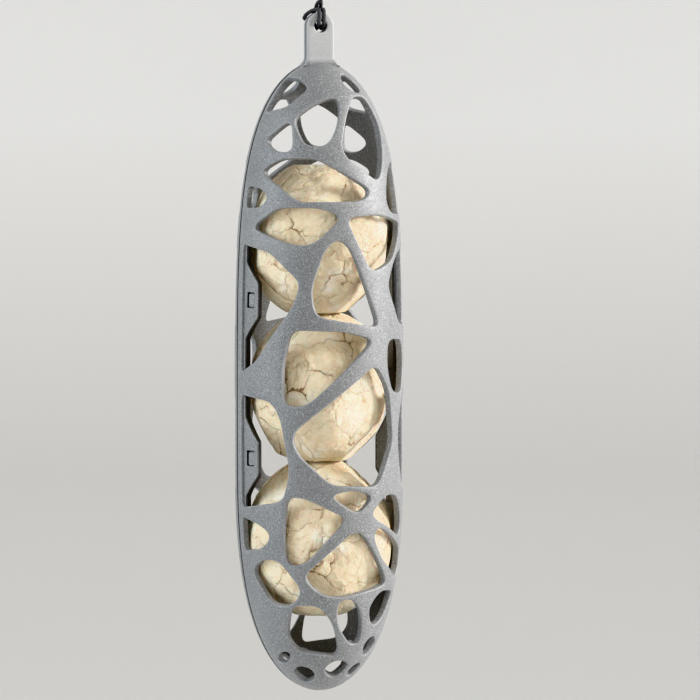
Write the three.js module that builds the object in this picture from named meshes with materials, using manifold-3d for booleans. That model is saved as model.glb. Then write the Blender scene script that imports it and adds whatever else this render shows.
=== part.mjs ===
// A hanging feeder for suet balls: two identical perforated half shells that snap together round three balls,
// hung by a cord through the tabs at their tops. Millimetres, +Z up. The origin is the middle of the hanging
// hole. The halves meet in the plane y = 0, the front half on its -Y side.
import * as THREE from "three";
import { mergeVertices } from "three/addons/utils/BufferGeometryUtils.js";
import Module from "manifold-3d";

// The pod, a surface of revolution with a long upper end and a blunter lower end.
const POD_RADIUS = 38.5;
const UPPER_LENGTH = 172.5; // from the widest level to the top pole
const LOWER_LENGTH = 115; // from the widest level to the bottom pole
const UPPER_FULLNESS = 4.4; // exponents of the end curves: a higher one is blunter
const LOWER_FULLNESS = 3;
const WALL = 3;

// The hanging tab, one layer on each half.
const TAB_WIDTH = 12.5;
const TAB_THICKNESS = 3.4;
const TAB_DROP = 16; // from the hanging hole to the top pole
const TAB_FLARE = 2.6; // how far the tab's foot spreads on each side
const HOLE_DIAMETER = 5.6;

// The snap closure on the seam: a recessed plate with a window on each half's left edge, and a tongue with a
// barb on its right edge that reaches behind the other half's plate.
const PLATE_RECESS = 1.5;
const PLATE_THICKNESS = 1.3;
const PLATE_STRIP = 10; // degrees that the plate's plain edge stands in from the seam
const PLATE_BULGE = 26.4; // degrees that its middle stands in from the seam
const TONGUE_THICKNESS = 1.4;
const TONGUE_ROOT = 14; // degrees of the tongue that lie on its own half
const TONGUE_LIP = 2; // degrees that its edge shows past the plate's edge
const WINDOW_FROM_SEAM = 13; // degrees from the seam to the window
const WINDOW_WIDTH = 10; // degrees
const WINDOW_HEIGHT = 7;
const BARB_BEHIND = 2.6; // degrees between the barb's catching face and the window's edge
const BARB_RISE = 1.7; // how far the barb stands up from its tongue at the catching face
const BARB_TIP = 0.7; // and at the end of its ramp

// Clearances.
const SEAM_GAP = 0.3; // between the two halves
const SEAT_GAP = 0.3; // between pieces that rest on each other
const WINDOW_GAP = 0.4; // round the barb in its window

// The suet balls, from the bottom of the stack up: the room between each one's widest part and the pod's wall,
// its height, how far round its flats are turned, and where its worn shoulder faces.
const FIRST_BALL_ROOM = 1.6;
const FIRST_BALL_HEIGHT = 70.3;
const BALL_ROOM = 3.2;
const BALL_HEIGHT = 67.2;
const BALLS = [
  { name: "ball_lower", room: FIRST_BALL_ROOM, height: FIRST_BALL_HEIGHT, turn: 0.4, worn: [0.6, -0.2, 0.7] },
  { name: "ball_middle", room: BALL_ROOM, height: BALL_HEIGHT, turn: 2.1, worn: [-0.5, 0.6, 0.62] },
  { name: "ball_upper", room: BALL_ROOM, height: BALL_HEIGHT, turn: 4.3, worn: [0.3, 0.8, -0.52] },
];
const BALL_DENT = 0.02; // depth of a ball's flats, as a share of its radius
const BALL_WORN = 0.91; // how far out its worn shoulder stands, as a share of its radius
const BALL_REST = 0.955; // where its top and bottom are pressed level, as a share of its half height

// The cord, hitched through the hole, and the knot and loop that end it.
const CORD_DIAMETER = 1.9;
const KNOT_HEIGHT = 8;
const KNOT_RADIUS = 3.6;
const KNOT_ABOVE_TAB = 11;
const LOOP_HEIGHT = 36;
const LOOP_WIDTH = 20;

// Facets.
const SEAM_STEPS = 16; // steps of the seam from the widest level to each pole
const FACET_SAG = 0.5; // how far a facet's side may lie below the true skin
const CORNER_STEPS = 3;
const CORNER_ROUND = 4.5; // mm from an opening's corner to where its rounding starts
const RIM_ROUND = 2.2; // the same at a corner on the rim along the seam
const SIDES = { cord: 8, hole: 20, ball: 22, ballRings: 13 };

// The openings of one half, drawn on the unrolled skin. A corner is given in degrees round from the front,
// with the left side negative, and in percent of the way from the widest level to the top pole, or down to
// the bottom pole where negative.
const UPPER_LATCH = {
  top: 52.1, // percent, as the rest
  bulgeTop: 47.5,
  flatTop: 42,
  flatBottom: 32.9,
  bulgeBottom: 27.2,
  bottom: 18.2,
};
const LOWER_LATCH = {
  top: 12.6, // percent, as the rest
  bulgeTop: 6.7,
  flatTop: 0.4,
  flatBottom: -12.9,
  bulgeBottom: -21.6,
  bottom: -25.9,
};
const LEFT_RIM = -82; // degrees, where the openings on the left stop short of the seam
const RIGHT_RIM = 82; // degrees
const OPENINGS = [
  // Row by row from the top pole down.
  [[LEFT_RIM, 96], [-44, 95.4], [-27, 93], [-51, 87.9], [LEFT_RIM, 86.6]],
  [[20, 94.6], [27, 96.9], [39, 96.6], [51, 92.8], [43, 91.4], [29, 92.3]],
  [[-40, 85], [-20, 88.8], [0, 90.5], [9, 89.7], [3, 83.1], [-8, 77.7], [-26, 77.7]],
  [[4, 78], [13, 85.9], [27, 90.8], [50, 90.8], [58, 83.7], [45, 73.3], [36, 68.2], [8, 74.5]],
  [[-41, 84.7], [-36, 76.2], [-51, 76.2], [-68, 79]],
  [[-66, 71.1], [-45, 74.5], [-16, 74.5], [28, 66], [19, 63.4], [-30, 63.2], [-47, 67.4]],
  [[LEFT_RIM, 67.3], [-63, 66.8], [-54, 64.3], [-63, 61.6], [LEFT_RIM, 61.5]],
  [[43, 63.6], [51, 71.3], [66, 73.9], [RIGHT_RIM, 72.7], [RIGHT_RIM, 59.6], [49, 60.1]],
  [[-70, 56.4], [-45, 61.7], [-14, 61.7], [3, 59.4], [-20, 51.8], [-34, 52.1]],
  [[5, 59.1], [31, 59.9], [69, 57.4], [45, 47.5], [24, 44.8]],
  [[LEFT_RIM, UPPER_LATCH.top], [-51, 50.1], [-27, 42.1], [-34, 35.3], [-63, 21.4],
    [LEFT_RIM, UPPER_LATCH.bottom]],
  [[-1, 53.8], [8, 51.2], [31, 30.3], [-17, 33.4], [-20, 40.5], [-10, 51.2]],
  [[40, 41.3], [51, 48.6], [66, 51.1], [RIGHT_RIM, 50.9], [RIGHT_RIM, 30.3], [56, 31]],
  [[-34, 29.9], [4, 29.4], [26, 27.2], [-8, 15.2], [-24, 10], [-40, 10.2], [-40, 20.5]],
  [[40, 27.3], [62, 26.9], [69, 20.7], [62, 12.8], [45, 13.1], [39, 20.1]],
  [[27, 20.9], [-6, 11.2], [-34, 2.8], [-30, -3.4], [-6, -15.8], [29, -16.9], [46, 0.4], [41, 13.7]],
  [[LEFT_RIM, LOWER_LATCH.top], [-49, 11.2], [-42, 6.8], [-35, -10.3], [-40, -22.4],
    [LEFT_RIM, LOWER_LATCH.bottom]],
  [[54, 3.1], [62, 11.6], [RIGHT_RIM, 11.7], [RIGHT_RIM, -19.2], [64, -18.3], [55, -5]],
  [[-8, -19.6], [10, -17.7], [26, -20.3], [13, -27.7]],
  [[23, -27.9], [37, -20.2], [53, -20.8], [65, -32.3], [60, -38.2]],
  [[LEFT_RIM, -29.4], [-61, -31.7], [-49, -36], [-59, -41.6], [LEFT_RIM, -42.9]],
  [[-37, -20.2], [-24, -20.9], [6, -29.2], [-26, -47.6], [-39, -47.4], [-40, -35.3]],
  [[26, -35.8], [32, -32.5], [68, -43.4], [74, -52], [62, -54.4], [37, -45.8]],
  [[10, -34], [17, -35.1], [47, -55.9], [1, -60.4], [-14, -58.9], [-27, -52]],
  [[-73, -50.3], [-61, -45.9], [-45, -45.4], [-27, -57.7], [-37, -64], [-55, -63.2]],
  [[-37, -63.6], [-14, -63.4], [-2, -71.8], [7, -84.3], [-35, -82.4], [-46, -77.7]],
  [[0, -61.2], [13, -60.6], [23, -68.4], [28, -79.4], [16, -79.9], [1, -71.5]],
  [[28, -65.5], [39, -58.5], [63, -59.3], [52, -70.2], [38, -73.5]],
  [[33, -80.9], [44, -76], [60, -80.7], [46, -86.4]],
  [[-10, -89.7], [5, -85.6], [26, -87.9], [14, -93.3], [-1, -93.2]],
  [[-57, -91.8], [-40, -88.1], [-23, -89.8], [-20, -94.1], [-43, -96.5]],
  [[-74, -87.7], [-60, -83], [-44, -82.5], [-54, -87.9]],
  [[26, -91.7], [37, -87.5], [52, -88.4], [42, -94.5]],
];

// Worked out from the sizes above.
const TOP_Z = -TAB_DROP;
const WIDEST_Z = TOP_Z - UPPER_LENGTH;
const TAB_TOP_Z = TAB_WIDTH / 2;
const TAB_FACE_Y = SEAM_GAP / 2 + TAB_THICKNESS;
const PLATE_DEPTH = PLATE_RECESS + PLATE_THICKNESS;
const TONGUE_DEPTH = WALL + SEAT_GAP;
const CORD_RADIUS = CORD_DIAMETER / 2;
const LEFT_SEAM = -90;
const SLOPE_STEP = 0.01;

const wasm = await Module();
wasm.setup();

// A closed geometry as its corner points and the facets between them.
function facetsOf(geometry) {
  const bare = new THREE.BufferGeometry().setAttribute("position", geometry.getAttribute("position"));
  bare.setIndex(geometry.index);
  const merged = mergeVertices(bare, 1e-4);
  const place = merged.getAttribute("position");
  const pointAt = (_, i) => new THREE.Vector3().fromBufferAttribute(place, i);
  const points = Array.from({ length: place.count }, pointAt);
  const faces = [];
  for (let i = 0; i < merged.index.count; i += 3) {
    const [a, b, c] = [0, 1, 2].map((k) => merged.index.getX(i + k));
    if (a !== b && b !== c && c !== a) faces.push([a, b, c]);
  }
  return { points, faces };
}

// Facets as a solid that can be joined and cut.
function solidOf({ points, faces }) {
  const vertProperties = new Float32Array(points.flatMap((p) => p.toArray()));
  const triVerts = new Uint32Array(faces.flat());
  return new wasm.Manifold(new wasm.Mesh({ numProp: 3, vertProperties, triVerts }));
}

// The facets of a flat sheet with each side cut in two where needed, alike for both facets that share it.
function refined({ points, faces }, needsCut) {
  const count = points.length;
  const middles = new Map();
  const middle = (a, b) => {
    const key = Math.min(a, b) * count + Math.max(a, b);
    if (middles.has(key)) return middles.get(key);
    const point = points[a].clone().lerp(points[b], 0.5);
    const place = needsCut(points[a], point, points[b]) ? points.push(point) - 1 : -1;
    middles.set(key, place);
    return place;
  };
  const parts = faces.flatMap(([a, b, c]) => {
    const ring = [a, middle(a, b), b, middle(b, c), c, middle(c, a)].filter((p) => p >= 0);
    const start = Math.max(0, ring.findIndex((p) => p >= count));
    const around = (i) => ring[(start + i) % ring.length];
    return Array.from({ length: ring.length - 2 }, (_, i) => [around(0), around(i + 1), around(i + 2)]);
  });
  return points.length > count ? refined(evened({ points, faces: parts }), needsCut) : { points, faces };
}

// The facets of a flat sheet with every two neighbours in one face turned to the diagonal that gives fuller
// facets.
function evened({ points, faces }) {
  const across = new Map();
  faces.forEach((face, f) => {
    face.forEach((a, k) => across.set(a * points.length + face[(k + 1) % 3], [f, face[(k + 2) % 3]]));
  });
  const turned = new Set();
  for (const [edge, [f, c]] of across) {
    const b = edge % points.length;
    const a = (edge - b) / points.length;
    const [g, d] = across.get(b * points.length + a);
    const [A, B, C, D] = [a, b, c, d].map((i) => points[i]);
    if (turned.has(f) || turned.has(g) || [B, C, D].some(({ z }) => z !== A.z)) continue;
    const facing = (p) => A.clone().sub(p).angleTo(B.clone().sub(p));
    if (facing(C) + facing(D) < Math.PI + 1e-6) continue;
    faces[f] = [a, d, c];
    faces[g] = [d, b, c];
    turned.add(f).add(g);
  }
  return turned.size ? evened({ points, faces }) : { points, faces };
}

// A finished solid as a geometry with flat facets.
function geometryOf(solid) {
  const mesh = solid.getMesh();
  const indexed = new THREE.BufferGeometry();
  indexed.setAttribute("position", new THREE.BufferAttribute(mesh.vertProperties, 3));
  indexed.setIndex(new THREE.BufferAttribute(mesh.triVerts, 1));
  const geometry = indexed.toNonIndexed();
  geometry.computeVertexNormals();
  return geometry;
}

// A height given in percent of the way from the widest level to a pole.
function height(percent) {
  return WIDEST_Z + (percent / 100) * (percent > 0 ? UPPER_LENGTH : LOWER_LENGTH);
}

function podRadius(z) {
  const above = z - WIDEST_Z;
  const [length, fullness] = above > 0 ? [UPPER_LENGTH, UPPER_FULLNESS] : [LOWER_LENGTH, LOWER_FULLNESS];
  const share = Math.abs(above / length) ** fullness;
  return POD_RADIUS * Math.sqrt(Math.max(0, 1 - share));
}

// The pod's profile at a depth below its skin, as [radius, height].
function profilePoint(z, depth) {
  const slope = (podRadius(z + SLOPE_STEP) - podRadius(z - SLOPE_STEP)) / (2 * SLOPE_STEP);
  const lean = Math.hypot(1, slope);
  return [Math.max(0, podRadius(z) - depth / lean), z + (depth * slope) / lean];
}

function skinPoint(degrees, z, depth) {
  const [radius, level] = profilePoint(z, depth);
  const angle = THREE.MathUtils.degToRad(degrees);
  return new THREE.Vector3(radius * Math.sin(angle), -radius * Math.cos(angle), level);
}

// A point's place on the flat sheet that the skin is cut from: widths run true at every height.
function onSheet([degrees, z]) {
  return new THREE.Vector2(THREE.MathUtils.degToRad(degrees) * podRadius(z), z);
}

// A sheet cut to an outline in [degrees, height] with holes, bent round the pod so that it lies between two
// depths below the skin. The upper depth may change round the pod.
function sheetSolid(outline, holes, upperDepth, lowerDepth) {
  const upper = typeof upperDepth === "function" ? upperDepth : () => upperDepth;
  const edge = outline.map(onSheet);
  const shape = new THREE.Shape(THREE.ShapeUtils.isClockWise(edge) ? edge.reverse() : edge);
  shape.holes = holes.map((hole) => new THREE.Path(hole.map(onSheet)));
  const flat = new THREE.ExtrudeGeometry(shape, { depth: 1, bevelEnabled: false });
  const bent = ({ x, y, z }) => {
    const degrees = THREE.MathUtils.radToDeg(x / Math.max(podRadius(y), SLOPE_STEP));
    return skinPoint(degrees, y, THREE.MathUtils.lerp(lowerDepth, upper(degrees), z));
  };
  const sags = (a, middle, b) => bent(a).lerp(bent(b), 0.5).distanceTo(bent(middle)) > FACET_SAG;
  const sheet = refined(evened(facetsOf(flat)), sags);
  return solidOf({ points: sheet.points.map(bent), faces: sheet.faces });
}

// The outline of a whole half, up its left edge from the bottom pole and down its right edge.
function halfOutline() {
  const edge = [];
  for (let step = 1 - SEAM_STEPS; step < SEAM_STEPS; step++) {
    const lean = Math.sin((Math.abs(step) / SEAM_STEPS) * (Math.PI / 2));
    const below = WIDEST_Z - LOWER_LENGTH * lean ** (2 / LOWER_FULLNESS);
    edge.push(step < 0 ? below : WIDEST_Z + UPPER_LENGTH * lean ** (2 / UPPER_FULLNESS));
  }
  const left = edge.map((z) => [LEFT_SEAM, z]);
  const right = edge.map((z) => [-LEFT_SEAM, z]).reverse();
  return [[0, WIDEST_Z - LOWER_LENGTH], ...left, [0, TOP_Z], ...right];
}

// A sketch's outline with its corners rounded, worked out in millimetres on the widest part of the pod.
function rounded(corners) {
  const perDegree = THREE.MathUtils.degToRad(POD_RADIUS);
  const points = corners.map(([a, percent]) => new THREE.Vector2(a * perDegree, height(percent)));
  const rounding = corners.map(([a]) => (a === LEFT_RIM || a === RIGHT_RIM ? RIM_ROUND : CORNER_ROUND));
  const shape = new THREE.Shape();
  points.forEach((here, i) => {
    const before = points[(i + points.length - 1) % points.length];
    const after = points[(i + 1) % points.length];
    const towards = (p) => here.clone().lerp(p, Math.min(0.5, rounding[i] / here.distanceTo(p)));
    const start = towards(before);
    const end = towards(after);
    if (i === 0) shape.moveTo(start.x, start.y);
    else shape.lineTo(start.x, start.y);
    shape.quadraticCurveTo(here.x, here.y, end.x, end.y);
  });
  const outline = shape.getPoints(CORNER_STEPS).map((p) => [p.x / perDegree, p.y]);
  const apart = ([a, z], [b, y]) => Math.hypot((a - b) * perDegree, z - y) > 0.05;
  return outline.filter((p, i) => apart(p, outline[(i + 1) % outline.length]));
}

// The scalloped outline that a latch's plate and its tongue share: from an edge behind the seam, with the
// plain strip and the bulge standing in from the seam, all in degrees.
function latchOutline(latch, from, strip, bulge) {
  return [
    [from, height(latch.top)],
    [LEFT_SEAM + strip, height(latch.top)],
    [LEFT_SEAM + strip, height(latch.bulgeTop)],
    [LEFT_SEAM + bulge, height(latch.flatTop)],
    [LEFT_SEAM + bulge, height(latch.flatBottom)],
    [LEFT_SEAM + strip, height(latch.bulgeBottom)],
    [LEFT_SEAM + strip, height(latch.bottom)],
    [from, height(latch.bottom)],
  ];
}

function rectangle(left, right, top, bottom) {
  return [[left, top], [right, top], [right, bottom], [left, bottom]];
}

function latchMiddle(latch) {
  return (height(latch.flatTop) + height(latch.flatBottom)) / 2;
}

function windowOutline(latch) {
  const left = LEFT_SEAM + WINDOW_FROM_SEAM;
  const middle = latchMiddle(latch);
  return rectangle(left, left + WINDOW_WIDTH, middle + WINDOW_HEIGHT / 2, middle - WINDOW_HEIGHT / 2);
}

// The recessed plate of one latch, let into the rim along the seam, with its window.
function plateSolid(latch) {
  const outline = latchOutline(latch, (LEFT_SEAM + LEFT_RIM) / 2, PLATE_STRIP, PLATE_BULGE);
  return sheetSolid(outline, [windowOutline(latch)], PLATE_RECESS, PLATE_DEPTH);
}

// The tongue that reaches behind that plate from the other half, with its barb in the window.
function tongueSolid(latch) {
  const root = LEFT_SEAM - TONGUE_ROOT;
  const outline = latchOutline(latch, root, PLATE_STRIP + TONGUE_LIP, PLATE_BULGE + TONGUE_LIP);
  const blade = sheetSolid(outline, [], TONGUE_DEPTH, TONGUE_DEPTH + TONGUE_THICKNESS);
  const [[windowLeft], [windowRight, windowTop], [, windowBottom]] = windowOutline(latch);
  const left = windowLeft + BARB_BEHIND;
  const right = windowRight - THREE.MathUtils.radToDeg(WINDOW_GAP / POD_RADIUS);
  const ramp = (a) => TONGUE_DEPTH - THREE.MathUtils.mapLinear(a, left, right, BARB_RISE, BARB_TIP);
  const barb = rectangle(left, right, windowTop - 2 * WINDOW_GAP, windowBottom + WINDOW_GAP);
  return blade.add(sheetSolid(barb, [], ramp, TONGUE_DEPTH + TONGUE_THICKNESS / 2));
}

// The tab's layer on the front half: round top about the hole, foot spread into the pod's top.
function tabSolid() {
  const half = TAB_WIDTH / 2;
  const foot = TOP_Z - WALL * 0.85;
  const shape = new THREE.Shape();
  shape.moveTo(-half - TAB_FLARE, foot);
  shape.lineTo(half + TAB_FLARE, foot);
  shape.quadraticCurveTo(half, TOP_Z - WALL * 0.3, half, TOP_Z + TAB_FLARE);
  shape.lineTo(half, 0);
  shape.absarc(0, 0, half, 0, Math.PI, false);
  shape.lineTo(-half, TOP_Z + TAB_FLARE);
  shape.quadraticCurveTo(-half, TOP_Z - WALL * 0.3, -half - TAB_FLARE, foot);
  const hole = new THREE.Path().absarc(0, 0, HOLE_DIAMETER / 2, 0, 2 * Math.PI, true);
  shape.holes.push(hole);
  const layer = { depth: TAB_THICKNESS, bevelEnabled: false, curveSegments: SIDES.hole };
  return solidOf(facetsOf(new THREE.ExtrudeGeometry(shape, layer).rotateX(Math.PI / 2)));
}

function shellSolid() {
  const net = sheetSolid(halfOutline(), OPENINGS.map(rounded), 0, WALL);
  const plates = [UPPER_LATCH, LOWER_LATCH].map(plateSolid);
  const shell = plates.reduce((solid, plate) => solid.add(plate), net.add(tabSolid()));
  return shell.translate([0, -SEAM_GAP / 2, 0]);
}

const greyPlastic = new THREE.MeshStandardMaterial({ color: 0x9a9d9f, roughness: 0.62, metalness: 0 });
const suet = new THREE.MeshStandardMaterial({ color: 0xd9c49c, roughness: 0.85, metalness: 0 });
const blackCord = new THREE.MeshStandardMaterial({ color: 0x17181a, roughness: 0.8, metalness: 0 });

function named(name, geometry, material) {
  const mesh = new THREE.Mesh(geometry, material.clone());
  mesh.name = name;
  return mesh;
}

// One half as it stands at the front; its tongues reach behind the plates of the other half, half a turn away.
const shellGeometry = geometryOf(shellSolid());
const tongueGeometry = {
  upper: geometryOf(tongueSolid(UPPER_LATCH)).rotateZ(Math.PI),
  lower: geometryOf(tongueSolid(LOWER_LATCH)).rotateZ(Math.PI),
};

function halfGroup(side) {
  const half = new THREE.Group();
  half.add(named(`${side}_shell`, shellGeometry, greyPlastic));
  half.add(named(`${side}_tongue_upper`, tongueGeometry.upper, greyPlastic));
  half.add(named(`${side}_tongue_lower`, tongueGeometry.lower, greyPlastic));
  return half;
}

function ballRadius(ball) {
  return POD_RADIUS - WALL - ball.room;
}

// The lowest place on the axis for the middle of a ball that rests in the pod's lower end.
function seatHeight(ball) {
  let seat = -Infinity;
  for (let share = 0; share < 1; share += 0.002) {
    const [radius, z] = profilePoint(WIDEST_Z - LOWER_LENGTH * share, WALL + SEAT_GAP);
    const reach = radius / ballRadius(ball);
    const drop = reach < 1 ? Math.min(1, Math.sqrt(1 - reach ** 2) / BALL_REST) : -Infinity;
    seat = Math.max(seat, z + (ball.height / 2) * drop);
  }
  return seat;
}

// A pressed ball: a sphere with shallow flats, one worn shoulder and a level top and bottom, none of it
// outside its radius and height.
function ballGeometry(ball) {
  const geometry = new THREE.SphereGeometry(1, SIDES.ball, SIDES.ballRings).rotateX(Math.PI / 2);
  const place = geometry.getAttribute("position");
  const worn = new THREE.Vector3(...ball.worn).normalize();
  const point = new THREE.Vector3();
  for (let i = 0; i < place.count; i++) {
    point.fromBufferAttribute(place, i);
    const around = Math.sin(5 * point.x + ball.turn) * Math.sin(4 * point.y - ball.turn);
    const flats = around * Math.sin(4.4 * point.z + 1);
    point.multiplyScalar(1 - BALL_DENT * Math.abs(flats));
    point.addScaledVector(worn, Math.min(0, BALL_WORN - point.dot(worn)));
    place.setXYZ(i, point.x, point.y, THREE.MathUtils.clamp(point.z / BALL_REST, -1, 1));
  }
  geometry.scale(ballRadius(ball), ballRadius(ball), ball.height / 2);
  return geometryOf(solidOf(facetsOf(geometry)));
}

function ballStack() {
  const stack = new THREE.Group();
  let z = seatHeight(BALLS[0]);
  BALLS.forEach((ball, i) => {
    if (i > 0) z += (BALLS[i - 1].height + ball.height) / 2 + SEAT_GAP;
    const mesh = named(ball.name, ballGeometry(ball), suet);
    mesh.position.z = z;
    stack.add(mesh);
  });
  return stack;
}

function circle(radius, sides) {
  const corner = (_, i) => {
    const angle = (2 * Math.PI * i) / sides;
    return new THREE.Vector2(radius * Math.cos(angle), radius * Math.sin(angle));
  };
  return new THREE.Shape(Array.from({ length: sides }, corner));
}

function tube(points, stepLength) {
  const path = new THREE.CatmullRomCurve3(points);
  const steps = Math.ceil(path.getLength() / stepLength);
  const sweep = { steps, extrudePath: path, bevelEnabled: false };
  return new THREE.ExtrudeGeometry(circle(CORD_RADIUS, SIDES.cord), sweep);
}

// The cord's hitch on the bridge above the hole: from the knot two tails go down the back, through the
// hole and up the front, and join in a bight that goes over the top and round behind the tails.
function hitchRoute(knotZ) {
  const half = CORD_RADIUS + SEAT_GAP / 2;
  const bend = CORD_RADIUS + SEAT_GAP;
  const slant = bend * Math.SQRT1_2;
  const strandY = TAB_FACE_Y + bend;
  const holeZ = Math.sqrt((HOLE_DIAMETER / 2 - bend) ** 2 - half ** 2);
  const overZ = TAB_TOP_Z + bend;
  const outside = half + CORD_DIAMETER + SEAT_GAP;
  const behindY = strandY + CORD_DIAMETER + SEAT_GAP;
  const tails = {
    1: [[0, half, knotZ], [0, half * 1.5, TAB_TOP_Z + 6.3], [half * 0.7, strandY * 0.72, TAB_TOP_Z + 4]],
    [-1]: [[0, -half, knotZ], [0, -half, TAB_TOP_Z + 6.4], [-half * 0.7, strandY * 0.38, TAB_TOP_Z + 4]],
  };
  const strand = (side) => [
    ...tails[side],
    [side * half, strandY - (side > 0 ? 0.4 : 0.9), TAB_TOP_Z + 2.2],
    [side * half, strandY, TAB_TOP_Z],
    [side * half, strandY, holeZ + bend],
    [side * half, TAB_FACE_Y + slant, holeZ + bend - slant],
    [side * half, TAB_FACE_Y, holeZ],
    [side * half, 0, holeZ],
    [side * half, -TAB_FACE_Y, holeZ],
    [side * half, -TAB_FACE_Y - slant, holeZ + bend - slant],
    [side * half, -strandY, holeZ + bend],
    [side * half, -strandY, TAB_TOP_Z],
    [side * half, -TAB_FACE_Y - slant, TAB_TOP_Z + slant],
    [side * half, -TAB_FACE_Y, overZ],
    [(side * (half + outside)) / 2, 0, overZ],
    [side * outside, TAB_FACE_Y, overZ],
    [side * outside, strandY, overZ],
    [side * outside * 0.7, behindY - 0.3, overZ],
  ];
  const points = [...strand(1), [0, behindY, overZ], ...strand(-1).reverse()];
  return points.map((p) => new THREE.Vector3(...p));
}

function cordGroup() {
  const cord = new THREE.Group();
  const knotZ = TAB_TOP_Z + KNOT_ABOVE_TAB;
  cord.add(named("hanging_cord", tube(hitchRoute(knotZ), CORD_DIAMETER), blackCord));

  const knot = new THREE.LatheGeometry(
    new THREE.EllipseCurve(0, 0, KNOT_RADIUS, KNOT_HEIGHT / 2, -Math.PI / 2, Math.PI / 2).getPoints(SIDES.cord),
    2 * SIDES.cord,
  );
  knot.rotateX(Math.PI / 2).translate(0, 0, knotZ + SEAT_GAP + KNOT_HEIGHT / 2);
  cord.add(named("cord_knot", geometryOf(solidOf(facetsOf(knot))), blackCord));

  const loopZ = knotZ + KNOT_HEIGHT + 2 * SEAT_GAP;
  const half = CORD_RADIUS + SEAT_GAP / 2;
  const loopSide = [
    [half, 0],
    [half, CORD_DIAMETER],
    [LOOP_WIDTH / 2, LOOP_HEIGHT * 0.6],
    [LOOP_WIDTH * 0.32, LOOP_HEIGHT * 0.93],
  ];
  const side = (sign) => loopSide.map(([x, z]) => new THREE.Vector3(sign * x, 0, loopZ + z));
  const loop = [...side(-1), new THREE.Vector3(0, 0, loopZ + LOOP_HEIGHT), ...side(1).reverse()];
  cord.add(named("hanging_loop", tube(loop, 2.5 * CORD_DIAMETER), blackCord));
  return cord;
}

const feeder = new THREE.Group();
feeder.name = "suet_ball_feeder";
const backHalf = halfGroup("back");
backHalf.rotation.z = Math.PI;
feeder.add(halfGroup("front"), backHalf, ballStack(), cordGroup());

export default feeder;
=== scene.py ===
"""The looks of a hanging feeder for suet balls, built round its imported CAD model. Millimetres are turned
into metres where meshes are made."""
import math

import bmesh
import bpy
import numpy as np
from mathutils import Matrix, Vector, noise
from mathutils.geometry import delaunay_2d_cdt


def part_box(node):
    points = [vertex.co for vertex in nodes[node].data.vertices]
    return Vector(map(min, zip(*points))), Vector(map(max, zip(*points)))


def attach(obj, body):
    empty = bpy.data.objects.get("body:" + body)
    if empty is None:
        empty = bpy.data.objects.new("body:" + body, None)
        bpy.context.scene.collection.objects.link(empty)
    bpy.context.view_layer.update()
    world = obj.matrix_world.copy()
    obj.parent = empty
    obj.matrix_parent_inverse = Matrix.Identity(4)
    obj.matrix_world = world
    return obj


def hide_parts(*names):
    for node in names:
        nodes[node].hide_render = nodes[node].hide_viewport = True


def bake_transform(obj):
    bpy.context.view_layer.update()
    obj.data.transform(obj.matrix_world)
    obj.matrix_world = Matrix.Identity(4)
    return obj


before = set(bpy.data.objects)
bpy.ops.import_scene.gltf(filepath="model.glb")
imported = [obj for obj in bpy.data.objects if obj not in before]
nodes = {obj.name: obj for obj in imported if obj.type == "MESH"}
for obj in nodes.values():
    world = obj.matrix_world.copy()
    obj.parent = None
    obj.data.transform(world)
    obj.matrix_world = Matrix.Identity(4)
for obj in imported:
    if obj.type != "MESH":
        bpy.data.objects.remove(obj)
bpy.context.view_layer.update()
MM = 0.001

# The pod, as in the part's source.
POD_RADIUS = 38.5
UPPER_LENGTH = 172.5
LOWER_LENGTH = 115.0
UPPER_FULLNESS = 4.4
LOWER_FULLNESS = 3.0
WALL = 3.0
SEAM_SHIFT = 0.15
TOP_Z = -16.0
WIDEST_Z = TOP_Z - UPPER_LENGTH
BOTTOM_Z = WIDEST_Z - LOWER_LENGTH

# The finer shape of its shells.
GROOVE_HALF = 0.8  # the groove along the seam: each half's share of its width, and its depth
GROOVE_DEPTH = 1.0
GROOVE_ROUNDING = 0.3
SHELL_EDGE = (0.7, 0.5)  # the rounding of an edge at the outer and the inner skin
SHELL_SPACING = 2.6  # how far apart the inner points of a skin lie
POLE_RADIUS = 1.0  # the skin is unrolled as if it never got narrower than this
TIP_RADIUS = 0.2  # a half's outline ends where the pod is this narrow
PROFILE_STEPS = 3001
PROFILE_END_STEPS = 2001  # more of them where the ends are blunt
SEAM_STEPS = 221
NEAR_SKIN = 0.02  # a corner of the CAD shell this near to the skin lies on it

# The tab.
TAB_HALF = 6.25
TAB_THICKNESS = 3.4
TAB_FLARE = 2.6
HOLE_RADIUS = 2.8
TAB_FACE_Y = SEAM_SHIFT + TAB_THICKNESS
TAB_SUNK = 0.85  # how much of the wall its foot goes into
TAB_EDGE = (0.7, 0.4)
TAB_SPACING = 1.0
TAB_STEP = 0.7
TAB_ROUND_STEPS = 41
HOLE_STEPS = 48
FLARE_STEPS = 13
FLARE_BOW = 0.3  # how far into the wall its flare would reach if it went straight down
TAB_FILLET = 2.2  # the rounding between its face and the pod's top
TAB_FILLET_FOOT = TOP_Z - 0.3
TAB_PALE_FOOT = TOP_Z - 1.0  # where its paler face starts, and how soon it is pale: partly its smoother finish, partly a painted sheen
TAB_PALE_RISE = 2.5
TAB_PALE_DEPTH = 0.6
TAB_SHADE_DEPTH = 0.45  # the painted shade line where the two layers meet
TAB_SHADE_FADE = 0.3

# The latches: a plate with a window on one half, and a tongue with a barb on the other.
PLATE_RECESS = 1.5
PLATE_THICKNESS = 1.3
PLATE_EDGE = (0.25, 0.2)
PLATE_SPACING = 2.5
WINDOW_HEIGHT = 7.0
WINDOW_GAP = 0.4
TONGUE_THICKNESS = 1.4
TONGUE_EDGE = (0.3, 0.3)
TONGUE_SPACING = 1.6
# how much painted shade darkens the tongue's outer skin
TONGUE_PAINTED_SHADE = 0.35
BARB_RISE = 1.7
BARB_TIP = 0.7
BARB_EDGE = (0.2, 0.05)
BARB_SPACING = 1.0

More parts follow.
